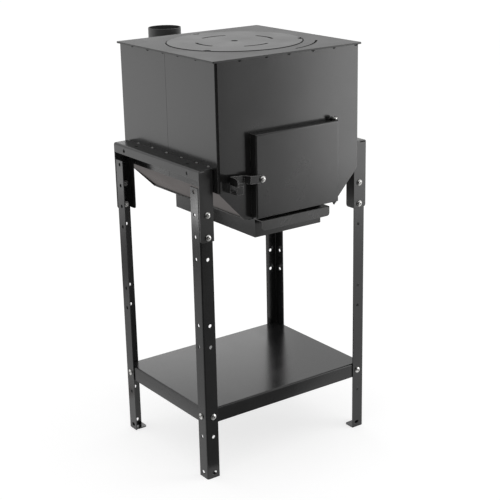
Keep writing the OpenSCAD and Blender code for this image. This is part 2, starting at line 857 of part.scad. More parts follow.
// Side bracket for the right side: a folded shelf bracket with two arms that hold the legs
module side_bracket() {
  reach = leg_x - half_w;
  inner_r = bracket_bend_r - bracket_t;
  difference() {
    union() {
      translate([0, frame_d / 2, 0]) rotate([90, 0, 0]) linear_extrude(frame_d)
        difference() {
          translate([half_w - bracket_bend_r, bracket_z - bracket_lip - bracket_bend_r])
            round_rect([reach + bracket_bend_r, bracket_lip + bracket_bend_r], bracket_bend_r, false);
          translate([half_w - 2 * bracket_bend_r, bracket_z - bracket_t - 2 * bracket_lip])
            round_rect([reach + 2 * bracket_bend_r - bracket_t, 2 * bracket_lip], inner_r, false);
          translate([half_w - 2 * bracket_bend_r, bracket_z - 2 * bracket_lip])
            square([2 * bracket_bend_r, 3 * bracket_lip]);
          translate([half_w - 2 * bracket_bend_r, bracket_z - 3 * bracket_lip])
            square([2 * reach, 2 * bracket_lip]);
        }
      bracket_arm();
      mirror([0, 1, 0]) bracket_arm();
    }
    for (side = sides) {
      translate([leg_x - hole_edge, side * top_hole_pitch / 2, bracket_z - bracket_t - cut])
        cylinder(d = hole_d, h = bracket_t + 2 * cut);
      rod_x([leg_x - bracket_t - cut, side * lip_hole_pitch / 2, bracket_z - lip_hole_drop],
        hole_d, bracket_t + 2 * cut);
      for (i = [1:2])
        translate([leg_x - hole_edge, side * (frame_d / 2 - bracket_t / 2), hole_top_z - i * hole_pitch])
          bolt_bore(bracket_t);
    }
  }
}

module bracket_right() {
  color("#343435") stove() side_bracket();
}

module bracket_left() {
  color("#343435") stove() mirror([1, 0, 0]) side_bracket();
}

// Bent angle with its outer corner at the origin, its flanges along +X and +Y
module angle_profile() {
  r = leg_bend_r;
  intersection() {
    translate([r, r]) difference() {
      circle(r = r);
      circle(r = r - leg_t);
    }
    square(r);
  }
  translate([r, 0]) square([leg_w - r, leg_t]);
  translate([0, r]) square([leg_t, leg_w - r]);
}

// Heights of the holes in a leg, from the top down
leg_holes = [
  for (i = [0:3]) hole_top_z - i * hole_pitch,
  mid_hole_z,
  mid_hole_z - hole_pitch,
  shelf_bolt_z,
  shelf_bolt_z - hole_pitch
];

// Leg for the front left corner: an angle with rows of holes and a foot tab
module leg() {
  translate([-leg_x, -leg_y, 0]) difference() {
    union() {
      linear_extrude(leg_l) angle_profile();
      linear_extrude(leg_t) {
        translate([leg_bend_r, leg_t - cut]) round_rect([leg_w - leg_bend_r, foot_l + cut], foot_r, false);
        translate([leg_bend_r, leg_t / 2]) square([leg_w - leg_bend_r, foot_l / 2]);
      }
    }
    for (z = leg_holes) {
      held = z == shelf_bolt_z;
      bolted = held || (z < hole_top_z && z >= hole_top_z - 2 * hole_pitch);
      rod_x([-cut, hole_edge, z], held ? bolt_d + bolt_fit : hole_d, leg_t + 2 * cut);
      rod_y([hole_edge, -cut, z], bolted ? bolt_d + bolt_fit : hole_d, leg_t + 2 * cut);
    }
    for (s = sides) {
      rod_x([-cut, hole_edge + s * foot_slot_l / 2, foot_slot_z], hole_d, leg_t + 2 * cut);
      rod_y([hole_edge + s * foot_slot_l / 2, -cut, foot_slot_z], hole_d, leg_t + 2 * cut);
    }
    translate([-cut, hole_edge - foot_slot_l / 2, foot_slot_z - hole_d / 2])
      cube([leg_t + 2 * cut, foot_slot_l, hole_d]);
    translate([hole_edge - foot_slot_l / 2, -cut, foot_slot_z - hole_d / 2])
      cube([foot_slot_l, leg_t + 2 * cut, hole_d]);
  }
}

module leg_front_left() {
  color("#3f3f41") stove() leg();
}

module leg_front_right() {
  color("#3f3f41") stove() mirror([1, 0, 0]) leg();
}

module leg_rear_left() {
  color("#3f3f41") stove() mirror([0, 1, 0]) leg();
}

module leg_rear_right() {
  color("#3f3f41") stove() mirror([1, 0, 0]) mirror([0, 1, 0]) leg();
}

// Solid block in the outline of the shelf, drawn in by a wall, with its upper edges bent round
module shelf_block(t, r) {
  h = shelf_h + 2 * r;
  intersection() {
    plate_y(-shelf_y - cut, 2 * shelf_y + 2 * cut)
      translate([-shelf_x + t, shelf_z - t - h]) round_rect([2 * shelf_x - 2 * t, h], r, false);
    plate_x(-shelf_x - cut, 2 * shelf_x + 2 * cut)
      translate([-shelf_y + t, shelf_z - t - h]) round_rect([2 * shelf_y - 2 * t, h], r, false);
  }
}

module shelf() {
  color("#3b3b3c") stove() difference() {
    shelf_block(0, shelf_bend_r);
    shelf_block(shelf_t, shelf_bend_r - shelf_t);
    translate([-leg_x, -leg_y, shelf_z - 3 * shelf_h]) cube([2 * leg_x, 2 * leg_y, 2 * shelf_h]);
    for (mx = [0, 1], my = [0, 1]) mirror([mx, 0, 0]) mirror([0, my, 0]) translate([0, 0, shelf_bolt_z]) {
      translate([shelf_x - shelf_notch, shelf_y - shelf_notch, -shelf_h])
        cube([shelf_notch + cut, shelf_notch + cut, 2 * shelf_h]);
      translate([leg_x - hole_edge, shelf_y - shelf_t / 2, 0]) bolt_bore(shelf_t);
      translate([shelf_x - shelf_t / 2, leg_y - hole_edge, 0]) rotate(90) bolt_bore(shelf_t);
    }
  }
}

// Places a front-facing fastener on the front and the rear of both sides
module on_leg_fronts(y, z) {
  for (mx = [0, 1], my = [0, 1])
    mirror([mx, 0, 0]) mirror([0, my, 0]) translate([leg_x - hole_edge, -y, z]) children();
}

// Places a fastener on the outer side of each leg, pointing inwards
module on_leg_sides(x, z) {
  for (mx = [0, 1], my = [0, 1])
    mirror([mx, 0, 0]) mirror([0, my, 0]) translate([x, -leg_y + hole_edge, z]) rotate(90) children();
}

module leg_bolts() {
  color("#b9babd") stove()
    for (i = [1:2])
      on_leg_fronts(frame_d / 2, hole_top_z - i * hole_pitch)
        button_bolt(bracket_t + leg_t + nut_h + bolt_tail);
}

module leg_nuts() {
  color("#9c9da0") stove()
    for (i = [1:2]) on_leg_fronts(leg_y - leg_t, hole_top_z - i * hole_pitch) hex_nut();
}

module shelf_bolts() {
  color("#b9babd") stove() {
    on_leg_fronts(leg_y, shelf_bolt_z) button_bolt(leg_t + shelf_t + nut_h + bolt_tail);
    on_leg_sides(leg_x, shelf_bolt_z) button_bolt(leg_t + shelf_t + nut_h + bolt_tail);
  }
}

module shelf_nuts() {
  color("#9c9da0") stove() {
    on_leg_fronts(shelf_y - shelf_t, shelf_bolt_z) hex_nut();
    on_leg_sides(shelf_x - shelf_t, shelf_bolt_z) hex_nut();
  }
}

front_shell();
rear_shell();
top_plate();
hob_seat_ring();
hob_collar();
hob_disc();
hopper_left();
hopper_right();
base_plate();
grate();
smoke_box();
flue_spigot();
door_pan();
hinge_lug_upper();
hinge_lug_lower();
hinge_pin();
latch_lever();
latch_bolt();
latch_nut();
latch_keeper();
ash_drawer();
drawer_handle();
drawer_rail_left();
drawer_rail_right();
bracket_left();
bracket_right();
leg_front_left();
leg_front_right();
leg_rear_left();
leg_rear_right();
shelf();
leg_bolts();
leg_nuts();
shelf_bolts();
shelf_nuts();
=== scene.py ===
import math
import random
import bmesh
import bpy
from mathutils import Matrix, Vector


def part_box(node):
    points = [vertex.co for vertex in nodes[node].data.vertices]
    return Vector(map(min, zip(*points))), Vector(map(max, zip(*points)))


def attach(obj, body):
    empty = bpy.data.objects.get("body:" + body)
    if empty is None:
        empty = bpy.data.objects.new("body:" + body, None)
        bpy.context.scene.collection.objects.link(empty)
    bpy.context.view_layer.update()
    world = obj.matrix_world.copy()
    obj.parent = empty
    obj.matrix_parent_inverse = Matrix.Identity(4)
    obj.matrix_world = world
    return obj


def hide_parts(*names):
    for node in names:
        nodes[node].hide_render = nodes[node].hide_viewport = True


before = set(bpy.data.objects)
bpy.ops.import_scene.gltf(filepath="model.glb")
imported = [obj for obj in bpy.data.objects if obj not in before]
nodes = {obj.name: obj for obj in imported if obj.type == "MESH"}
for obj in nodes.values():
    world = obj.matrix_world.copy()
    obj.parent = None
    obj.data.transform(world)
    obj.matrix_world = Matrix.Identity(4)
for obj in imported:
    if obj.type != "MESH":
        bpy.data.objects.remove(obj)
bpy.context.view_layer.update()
scene = bpy.context.scene
print("frame loaded,", len(nodes), "nodes")

# The camera stands where the photograph was taken from, in metres and degrees
camera = {
    "place": (-1.566523, -2.302588, 1.344431),
    "azimuth": -35.423,
    "elevation": 18.021,
    "roll": -1.191,
    "lens": 87.356,
    "sensor": 36.0,
}


def placeCamera(settings):
    azimuth = math.radians(settings["azimuth"])
    elevation = math.radians(settings["elevation"])
    roll = math.radians(settings["roll"])
    level = math.cos(elevation)
    back = Vector((math.sin(azimuth) * level, -math.cos(azimuth) * level, math.sin(elevation)))
    right = (-back).cross(Vector((0, 0, 1))).normalized()
    up = right.cross(-back)
    rolledRight = right * math.cos(roll) + up * math.sin(roll)
    rolledUp = up * math.cos(roll) - right * math.sin(roll)
    turn = Matrix((rolledRight, rolledUp, back)).transposed().to_4x4()
    data = bpy.data.cameras.new("photoCamera")
    data.lens = settings["lens"]
    data.sensor_width = settings["sensor"]
    view = bpy.data.objects.new("photoCamera", data)
    view.matrix_world = Matrix.Translation(settings["place"]) @ turn
    scene.collection.objects.link(view)
    scene.camera = view


placeCamera(camera)
print("camera placed")


# Small helpers for node trees
def addNode(tree, kind, values=None, **settings):
    node = tree.nodes.new(kind)
    for key, value in settings.items():
        setattr(node, key, value)
    for key, value in (values or {}).items():
        node.inputs[key].default_value = value
    return node


def join(tree, source, target):
    tree.links.new(source, target)


def feed(tree, value, target):
    # another node's socket is joined, a plain value is set
    if hasattr(value, "is_output"):
        join(tree, value, target)
    else:
        target.default_value = value


def calculate(tree, operation, first, second=None, clamp=False):
    node = addNode(tree, "ShaderNodeMath", operation=operation, use_clamp=clamp)
    feed(tree, first, node.inputs[0])
    if second is not None:
        feed(tree, second, node.inputs[1])
    return node.outputs[0]


def calculateVector(tree, operation, first, second=None):
    node = addNode(tree, "ShaderNodeVectorMath", operation=operation)
    feed(tree, first, node.inputs[0])
    if second is not None:
        feed(tree, second, node.inputs[1])
    return node


def addNoise(tree, place, scale, values):
    node = addNode(tree, "ShaderNodeTexNoise", values)
    join(tree, place, node.inputs["Vector"])
    feed(tree, scale, node.inputs["Scale"])
    return node.outputs["Fac"]


def spread(tree, source, low, high, fromLow=0.3, fromHigh=0.7):
    node = addNode(tree, "ShaderNodeMapRange", {"From Min": fromLow, "From Max": fromHigh})
    join(tree, source, node.inputs["Value"])
    feed(tree, low, node.inputs["To Min"])
    feed(tree, high, node.inputs["To Max"])
    return node.outputs["Result"]


def mixColours(tree, factor, first, second):
    node = addNode(tree, "ShaderNodeMix", data_type="RGBA")
    join(tree, factor, node.inputs[0])
    feed(tree, first, node.inputs[6])
    feed(tree, second, node.inputs[7])
    return node.outputs[2]


def mixValues(tree, factor, first, second):
    node = addNode(tree, "ShaderNodeMix", data_type="FLOAT")
    join(tree, factor, node.inputs[0])
    feed(tree, first, node.inputs[2])
    feed(tree, second, node.inputs[3])
    return node.outputs[0]


def addBump(tree, height, strength, distance, under=None):
    node = addNode(tree, "ShaderNodeBump", {"Strength": strength, "Distance": distance})
    join(tree, height, node.inputs["Height"])
    if under is not None:
        join(tree, under, node.inputs["Normal"])
    return node.outputs["Normal"]


def grey(level, tint=(1.0, 1.0, 1.0)):
    return (level * tint[0], level * tint[1], level * tint[2], 1.0)


def objectPlace(tree):
    return addNode(tree, "ShaderNodeTexCoord").outputs["Object"]


def newGroup(name, inputs, outputs):
    tree = bpy.data.node_groups.new(name, "ShaderNodeTree")
    for label, value in inputs.items():
        socket = tree.interface.new_socket(name=label, in_out="INPUT", socket_type="NodeSocketFloat")
        socket.default_value = value
    for label in outputs:
        tree.interface.new_socket(name=label, in_out="OUTPUT", socket_type="NodeSocketFloat")
    return tree, tree.nodes.new("NodeGroupInput"), tree.nodes.new("NodeGroupOutput")


def useGroup(tree, group, values):
    node = tree.nodes.new("ShaderNodeGroup")
    node.node_tree = group
    for key, value in values.items():
        node.inputs[key].default_value = value
    return node


# Fine grain of the powder coat and the soft clouds that lie under it
def powderGroup():
    tree, put, out = newGroup(
        "powderCoat",
        {"Grain Size": 0.0016, "Cloud Size": 0.09, "Stretch": 1.0},
        ("Grain", "Clouds"),
    )
    place = objectPlace(tree)
    grainScale = calculate(tree, "DIVIDE", 1.0, put.outputs["Grain Size"])
    grain = addNoise(tree, place, grainScale, {"Detail": 2.0, "Roughness": 0.55})
    cloudScale = calculate(tree, "DIVIDE", 1.0, put.outputs["Cloud Size"])
    squash = addNode(tree, "ShaderNodeCombineXYZ", {"X": 1.0, "Y": 1.0})
    join(tree, put.outputs["Stretch"], squash.inputs["Z"])
    shaped = calculateVector(tree, "MULTIPLY", place, squash.outputs[0])
    cloudy = {"Detail": 5.0, "Roughness": 0.6, "Distortion": 0.4}
    clouds = addNoise(tree, shaped.outputs[0], cloudScale, cloudy)
    join(tree, grain, out.inputs["Grain"])
    join(tree, clouds, out.inputs["Clouds"])
    return tree


# Mask of the outer edges, where the coat is thin and rubbed smooth, and where a lighter colour also paints a
# highlight.
# The dot product of the true and the rounded normal runs from "flat" to "turned" there.
edgeWearAndHighlight = {"flat": 0.995, "turned": 0.86, "spotScale": 160.0, "spotLow": 0.35, "spotHigh": 0.65}


def edgeGroup(settings):
    tree, put, out = newGroup("wornAndHighlitEdges", {"Radius": 0.0012, "Strength": 1.0, "Break Up": 0.5}, ("Mask",))
    rounded = addNode(tree, "ShaderNodeBevel", samples=4)
    join(tree, put.outputs["Radius"], rounded.inputs["Radius"])
    shape = addNode(tree, "ShaderNodeNewGeometry")
    same = calculateVector(tree, "DOT_PRODUCT", rounded.outputs["Normal"], shape.outputs["Normal"])
    turned = spread(tree, same.outputs["Value"], 0.0, 1.0, settings["flat"], settings["turned"])
    spots = addNoise(tree, objectPlace(tree), settings["spotScale"], {"Detail": 3.0})
    whole = calculate(tree, "SUBTRACT", 1.0, put.outputs["Break Up"])
    keep = spread(tree, spots, whole, 1.0, settings["spotLow"], settings["spotHigh"])
    shown = calculate(tree, "MULTIPLY", turned, keep)
    final = calculate(tree, "MULTIPLY", shown, put.outputs["Strength"], clamp=True)
    join(tree, final, out.inputs["Mask"])
    return tree


# Mask of the thin lines that handling leaves in a coat, each direction as (turn, squeeze)
handling = {
    "directions": ((0.4, 9.0), (1.9, 7.0)), "tilt": (1.0, 0.7, 1.3),
    "lineFrom": 0.66, "lineTo": 0.72,
}


def rubGroup(settings):
    tree, put, out = newGroup("handlingRubs", {"Spacing": 0.05, "Amount": 0.5}, ("Mask",))
    place = objectPlace(tree)
    scale = calculate(tree, "DIVIDE", 1.0, put.outputs["Spacing"])
    lines = []
    for turn, squeeze in settings["directions"]:
        rotation = tuple(turn * share for share in settings["tilt"])
        aim = addNode(tree, "ShaderNodeMapping", {"Rotation": rotation, "Scale": (1.0, squeeze, 1.0)})
        join(tree, place, aim.inputs["Vector"])
        threads = addNoise(tree, aim.outputs["Vector"], scale, {"Detail": 1.0, "Distortion": 1.2})
        lines.append(spread(tree, threads, 0.0, 1.0, settings["lineFrom"], settings["lineTo"]))
    union = lines[0]
    for line in lines[1:]:
        union = calculate(tree, "MAXIMUM", union, line)
    final = calculate(tree, "MULTIPLY", union, put.outputs["Amount"], clamp=True)
    join(tree, final, out.inputs["Mask"])
    return tree


# Painted dark bands along a ring or an arc about the middle of the hob, in metres: on the lid they are
# painted shade in the gap at its rim and in its slots
hobMiddle = (0.0, -0.057, 0.0)


def darkBandGroup(middle):
    tree, put, out = newGroup(
        "paintedDarkBands",
        {"Radius": 0.155, "Half Width": 0.001, "Middle Angle": 0.0, "Half Angle": 4.0, "Fade": 0.0006},
        ("Mask",),
    )
    offset = calculateVector(tree, "SUBTRACT", objectPlace(tree), middle)
    flat = calculateVector(tree, "MULTIPLY", offset.outputs[0], (1.0, 1.0, 0.0))
    reach = calculateVector(tree, "LENGTH", flat.outputs[0])
    parts = addNode(tree, "ShaderNodeSeparateXYZ")
    join(tree, flat.outputs[0], parts.inputs[0])
    turn = calculate(tree, "ARCTAN2", parts.outputs["Y"], parts.outputs["X"])
    masks = []
    for source, centre, half in (
        (reach.outputs["Value"], "Radius", "Half Width"),
        (turn, "Middle Angle", "Half Angle"),
    ):
        off = calculate(tree, "SUBTRACT", source, put.outputs[centre])
        size = calculate(tree, "ABSOLUTE", off)
        past = calculate(tree, "SUBTRACT", size, put.outputs[half])
        share = calculate(tree, "DIVIDE", past, put.outputs["Fade"])
        masks.append(calculate(tree, "SUBTRACT", 1.0, share, clamp=True))
    both = calculate(tree, "MULTIPLY", *masks, clamp=True)
    join(tree, both, out.inputs["Mask"])
    return tree


powderCoat = powderGroup()
wornAndHighlitEdges = edgeGroup(edgeWearAndHighlight)
handlingRubs = rubGroup(handling)
paintedDarkBands = darkBandGroup(hobMiddle)
print("shader groups made")

# Black paints. "low" and "high" are the two blacks of the clouds, "edge" is the grey of the edges, partly
# worn coat and partly a painted highlight, grain, waves and widths are in metres, and the painted dark bands
# are (radius, half width, middle angle, half angle).
plainPaint = {
    "tint": (1.0, 0.99, 0.98), "edgeRough": 0.20, "edgeWidth": 0.0014, "rubs": 0.2,
    "grain": 0.00007, "wave": 0.0, "waveSize": 0.1, "stretch": 1.0, "paintedDark": (),
}
paint = {
    "satinBlack": {
        "low": 0.011, "high": 0.016, "rough": (0.18, 0.22), "edge": 0.060, "wave": 0.0007, "waveSize": 0.22,
    },
    "hobBlack": {
        "low": 0.008, "high": 0.014, "tint": (1.0, 0.995, 0.98), "rough": (0.37, 0.43), "edge": 0.040,
        "edgeRough": 0.30, "grain": 0.00010, "wave": 0.0004, "waveSize": 0.30,
        # a thin matt deep-black arc painted on the top plate, 183.5 mm from the hob's middle
        "paintedDark": ((0.1835, 0.0022, -59, 20.5),),
    },
    "discBlack": {
        "low": 0.016, "high": 0.026, "tint": (1.0, 0.995, 0.98), "rough": (0.31, 0.38), "edge": 0.030,
        "edgeRough": 0.26, "grain": 0.00010, "wave": 0.0004, "waveSize": 0.30,
        # painted shade: dark bands along the walls of the four slots, and a dark ring at the rim for the gap
        # round the lid
        "paintedDark": (
            (0.088, 0.0030, 0, 20.5), (0.088, 0.0030, 90, 20.5), (0.088, 0.0030, -90, 20.5),
            (0.088, 0.0030, 170, 10.5), (0.088, 0.0030, -170, 10.5), (0.1538, 0.0010, 0, 200),
        ),
    },
    "flueBlack": {
        "low": 0.032, "high": 0.042, "tint": (1.0, 1.0, 1.0), "rough": (0.36, 0.44), "edge": 0.070,
        "edgeRough": 0.28, "grain": 0.00010, "wave": 0.0003, "waveSize": 0.10,
    },
    "bracketBlack": {
        "low": 0.015, "high": 0.022, "rough": (0.27, 0.33), "edge": 0.050, "wave": 0.0004, "waveSize": 0.18,
    },
    # lighter than the drawer front behind it: painted light on the grip, whose light edge grey is a painted
    # highlight
    "gripBlack": {
        "low": 0.036, "high": 0.046, "rough": (0.24, 0.30), "edge": 0.090, "edgeRough": 0.18, "rubs": 0.05,
        "wave": 0.0003, "waveSize": 0.12,
    },
    # its light edge grey is mostly a painted highlight on the edges
    "latchBlack": {
        "low": 0.004, "high": 0.007, "rough": (0.22, 0.28), "edge": 0.550, "edgeRough": 0.22, "rubs": 0.1,
        "edgeWidth": 0.0010, "grain": 0.00006,
    },
    # its light edge grey is mostly a painted highlight along the folded edges
    "shelfBlack": {
        "low": 0.008, "high": 0.012, "tint": (0.99, 1.0, 1.01), "rough": (0.19, 0.24), "edge": 0.200,
        "rubs": 0.1, "grain": 0.00006, "wave": 0.0003, "waveSize": 0.20,
    },
    # its warm tint is a painted reflection of a warm floor
    "hopperBlack": {
        "low": 0.008, "high": 0.013, "tint": (1.15, 0.95, 0.90), "rough": (0.27, 0.33), "edge": 0.035,
        "edgeRough": 0.24, "grain": 0.00008, "wave": 0.0008, "waveSize": 0.20,
    },
    # its light edge grey is mostly a painted highlight along the bends
    "doorBlack": {
        "low": 0.011, "high": 0.017, "rough": (0.18, 0.22), "edge": 0.260, "edgeRough": 0.18,
        "wave": 0.0005, "waveSize": 0.18,
    },
    "legBlack": {
        "low": 0.010, "high": 0.015, "tint": (0.99, 1.0, 1.01), "rough": (0.18, 0.24), "edge": 0.045,
        "edgeRough": 0.18, "grain": 0.00006, "wave": 0.0003, "waveSize": 0.12, "stretch": 0.35,
    },
    # darker than the paint: painted shade on the tacks under the top plate's overhang
    "tackShadeBlack": {
        "low": 0.002, "high": 0.004, "tint": (1.0, 1.0, 1.0), "rough": (0.55, 0.65), "edge": 0.004,
        "edgeRough": 0.5, "grain": 0.00012,
    },
    # lighter than the paint: a painted highlight on the bracket tacks
    "weldHighlightGrey": {
        "low": 0.080, "high": 0.150, "tint": (1.0, 0.99, 0.97), "rough": (0.26, 0.34), "edge": 0.220,
        "grain": 0.00012,
    },
    "weldBlack": {
        "low": 0.012, "high": 0.024, "tint": (1.0, 0.98, 0.96), "rough": (0.20, 0.30), "edge": 0.045,
        "edgeRough": 0.18, "grain": 0.00012,
    },
    "seamBlack": {
        "low": 0.002, "high": 0.005, "tint": (1.0, 1.0, 1.0), "rough": (0.62, 0.72), "edge": 0.008,
        "edgeRough": 0.6, "grain": 0.00010,
    },
}
coating = {
    "grainSize": 0.0014, "cloudSize": 0.08, "cloudFrom": 0.35, "cloudTo": 0.65, "grainRelief": 0.35,
    "edgeStrength": 0.9, "edgeBreakUp": 0.45,
    "rubSpacing": 0.045, "rubShine": -0.06,
    "paintedDarkLevel": 0.001, "paintedDarkRough": 0.92, "ior": 1.5,
}


def newMaterial(name):
    material = bpy.data.materials.new(name)
    material.use_nodes = True
    tree = material.node_tree
    return material, tree, tree.nodes["Principled BSDF"]


def paintedSteel(name, settings):
    material, tree, shader = newMaterial(name)
    coat = useGroup(tree, powderCoat, {
        "Grain Size": coating["grainSize"], "Cloud Size": coating["cloudSize"],
        "Stretch": settings["stretch"]})
    edges = useGroup(tree, wornAndHighlitEdges, {
        "Radius": settings["edgeWidth"], "Strength": coating["edgeStrength"],
        "Break Up": coating["edgeBreakUp"]})
    rubs = useGroup(tree, handlingRubs, {"Spacing": coating["rubSpacing"], "Amount": settings["rubs"]})
    # colour: two close blacks in clouds, lighter on the edges as rubbed wear and as a painted highlight
    clouds = spread(tree, coat.outputs["Clouds"], 0.0, 1.0, coating["cloudFrom"], coating["cloudTo"])
    low, high, edge = (grey(settings[key], settings["tint"]) for key in ("low", "high", "edge"))
    colour = mixColours(tree, edges.outputs["Mask"], mixColours(tree, clouds, low, high), edge)
    # gloss: clouds and rubs change it a little, and worn edges have their own
    gloss = spread(tree, coat.outputs["Clouds"], *settings["rough"])
    rubbed = calculate(tree, "MULTIPLY", rubs.outputs["Mask"], coating["rubShine"])
    worn = calculate(tree, "ADD", gloss, rubbed)
    rough = mixValues(tree, edges.outputs["Mask"], worn, settings["edgeRough"])
    # painted dark bands: matt and deep black along the listed rings and arcs; on the lid they are painted
    # shade in its rim gap and slots
    for radius, halfWidth, middleAngle, halfAngle in settings["paintedDark"]:
        band = useGroup(tree, paintedDarkBands, {
            "Radius": radius, "Half Width": halfWidth,
            "Middle Angle": math.radians(middleAngle), "Half Angle": math.radians(halfAngle)})
        colour = mixColours(tree, band.outputs["Mask"], colour, grey(coating["paintedDarkLevel"]))
        rough = mixValues(tree, band.outputs["Mask"], rough, coating["paintedDarkRough"])
    join(tree, colour, shader.inputs["Base Color"])
    join(tree, rough, shader.inputs["Roughness"])
    # height: the slight waves of rolled sheet under the grain of the coat
    waves = addNoise(tree, objectPlace(tree), 1.0 / settings["waveSize"], {"Detail": 1.0, "Roughness": 0.4})
    rolled = addBump(tree, waves, 1.0, settings["wave"])
    skin = addBump(tree, coat.outputs["Grain"], coating["grainRelief"], settings["grain"], rolled)
    join(tree, skin, shader.inputs["Normal"])
    shader.inputs["IOR"].default_value = coating["ior"]
    return material


castIron = {
    "low": 0.020, "high": 0.050, "tint": (1.0, 0.97, 0.93), "rough": (0.55, 0.75), "metal": 0.35,
    "grainSize": 0.0022, "cloudSize": 0.05, "relief": 0.7, "grain": 0.0006,
}


def ironCasting(name, settings):
    material, tree, shader = newMaterial(name)
    skin = useGroup(tree, powderCoat, {
        "Grain Size": settings["grainSize"], "Cloud Size": settings["cloudSize"], "Stretch": 1.0})
    grains = spread(tree, skin.outputs["Grain"], 0.0, 1.0)
    low, high = (grey(settings[key], settings["tint"]) for key in ("low", "high"))
    join(tree, mixColours(tree, grains, low, high), shader.inputs["Base Color"])
    join(tree, spread(tree, skin.outputs["Clouds"], *settings["rough"]), shader.inputs["Roughness"])
    rises = addBump(tree, skin.outputs["Grain"], settings["relief"], settings["grain"])
    join(tree, rises, shader.inputs["Normal"])
    shader.inputs["Metallic"].default_value = settings["metal"]
    return material


plainZinc = {
    "grainSize": 0.0007, "cloudSize": 0.006, "relief": 0.3, "grain": 0.00008,
    "edgeWidth": 0.0006, "edgeStrength": 0.7, "edgeBreakUp": 0.3,
}
zinc = {
    "zincPlate": {
        "low": 0.52, "high": 0.66, "tint": (1.0, 0.995, 0.97), "rough": (0.20, 0.34), "edge": 0.85,
    },
    "zincNut": {
        "low": 0.42, "high": 0.56, "tint": (1.0, 0.99, 0.96), "rough": (0.28, 0.42), "edge": 0.75,
    },
}


def platedSteel(name, settings):
    material, tree, shader = newMaterial(name)
    skin = useGroup(tree, powderCoat, {
        "Grain Size": settings["grainSize"], "Cloud Size": settings["cloudSize"], "Stretch": 1.0})
    edges = useGroup(tree, wornAndHighlitEdges, {
        "Radius": settings["edgeWidth"], "Strength": settings["edgeStrength"],
        "Break Up": settings["edgeBreakUp"]})
    clouds = spread(tree, skin.outputs["Clouds"], 0.0, 1.0)
    low, high, edge = (grey(settings[key], settings["tint"]) for key in ("low", "high", "edge"))
    # lighter on the edges, as wear and as a painted highlight
    bright = mixColours(tree, edges.outputs["Mask"], mixColours(tree, clouds, low, high), edge)
    join(tree, bright, shader.inputs["Base Color"])
    join(tree, spread(tree, skin.outputs["Clouds"], *settings["rough"]), shader.inputs["Roughness"])
    rises = addBump(tree, skin.outputs["Grain"], settings["relief"], settings["grain"])
    join(tree, rises, shader.inputs["Normal"])
    shader.inputs["Metallic"].default_value = 1.0
    return material


finishes = {name: paintedSteel(name, {**plainPaint, **settings}) for name, settings in paint.items()}
finishes["castIron"] = ironCasting("castIron", castIron)
for name, settings in zinc.items():
    finishes[name] = platedSteel(name, {**plainZinc, **settings})
print("finishes made:", ", ".join(sorted(finishes)))

# Which finish each part of the stove has
dress = {
    "satinBlack": ["front_shell", "rear_shell", "smoke_box", "base_plate", "hob_seat_ring", "hob_collar",
                   "hinge_lug_upper", "hinge_lug_lower", "ash_drawer",
                   "drawer_rail_left", "drawer_rail_right"],
    "gripBlack": ["drawer_handle"],
    "latchBlack": ["latch_keeper", "latch_lever"],
    "shelfBlack": ["shelf"],
    "bracketBlack": ["bracket_left", "bracket_right"],
    "flueBlack": ["flue_spigot"],
    "hobBlack": ["top_plate"],
    "hopperBlack": ["hopper_left", "hopper_right"],
    "doorBlack": ["door_pan"],
    "legBlack": ["leg_front_left", "leg_front_right", "leg_rear_left", "leg_rear_right"],
    "castIron": ["grate"],
    "zincPlate": ["hinge_pin", "latch_bolt", "leg_bolts", "shelf_bolts"],
    "zincNut": ["latch_nut", "leg_nuts", "shelf_nuts"],
}
# How far the edges are eased, in metres, and from which angle on an edge is sharp
easedWidth = {
    "plain": 0.00035, "latch_lever": 0.0006, "latch_keeper": 0.0006, "grate": 0.0012,
    "top_plate": 0.0005, "door_pan": 0.0009, "drawer_handle": 0.0008,
    "bracket_left": 0.0008, "bracket_right": 0.0008, "shelf": 0.0009,
}
easing = {"sharpAngle": 38, "segments": 2, "closeSeams": 0.000005, "evenWeight": 80}


def easeEdges(part, width, settings):
    close = part.modifiers.new("closeSeams", "WELD")
    close.merge_threshold = settings["closeSeams"]
    eased = part.modifiers.new("easedEdges", "BEVEL")
    eased.width = width
    eased.segments = settings["segments"]
    eased.limit_method = "ANGLE"
    eased.angle_limit = math.radians(settings["sharpAngle"])
    eased.use_clamp_overlap = True
    eased.harden_normals = False
    even = part.modifiers.new("evenShading", "WEIGHTED_NORMAL")
    even.keep_sharp = False
    even.weight = settings["evenWeight"]


for finish, parts in dress.items():
    for name in parts:
        part = nodes[name]
        part.data.materials.clear()
        part.data.materials.append(finishes[finish])
        easeEdges(part, easedWidth.get(name, easedWidth["plain"]), easing)
print("parts dressed:", sum(len(parts) for parts in dress.values()))

# Weld beads and seams. Places, heights and lengths are in millimetres, with x and y about the middle
# of the firebox. Legs, radii, steps, ripples, tapers and the section of the seam are in metres.
middleY = 67.0
draw = random.Random(11)
axisX, axisY, axisZ = Vector((1, 0, 0)), Vector((0, 1, 0)), Vector((0, 0, 1))
# As shares of the leg: "hollow" is the reach of the bead's middle, "sink" and "tuck" are how deep its
# root and its toes go into the steel, and "endSize" is its size at the ends.
bead = {
    "step": 0.0006, "fewestSteps": 4, "ripple": 0.0023, "rippleDepth": 0.09, "uneven": 0.03,
    "corners": 5, "hollow": 0.86, "sink": 0.12, "tuck": 0.06,
    "endSize": 0.30, "tackTaper": 0.0045, "runTaper": 0.003,
    "tackLength": 9.0, "tackLengths": (0.85, 1.15), "tackLegs": (0.9, 1.1),
}


def at(x, y, z):
    return Vector((x, y - middleY, z)) / 1000


def runSamples(start, end, sideA, sideB):
    # points along a straight joint, each with the two faces that the bead lies on
    count = max(bead["fewestSteps"], int((end - start).length / bead["step"]))
    return [(start.lerp(end, i / count), sideA, sideB) for i in range(count + 1)]


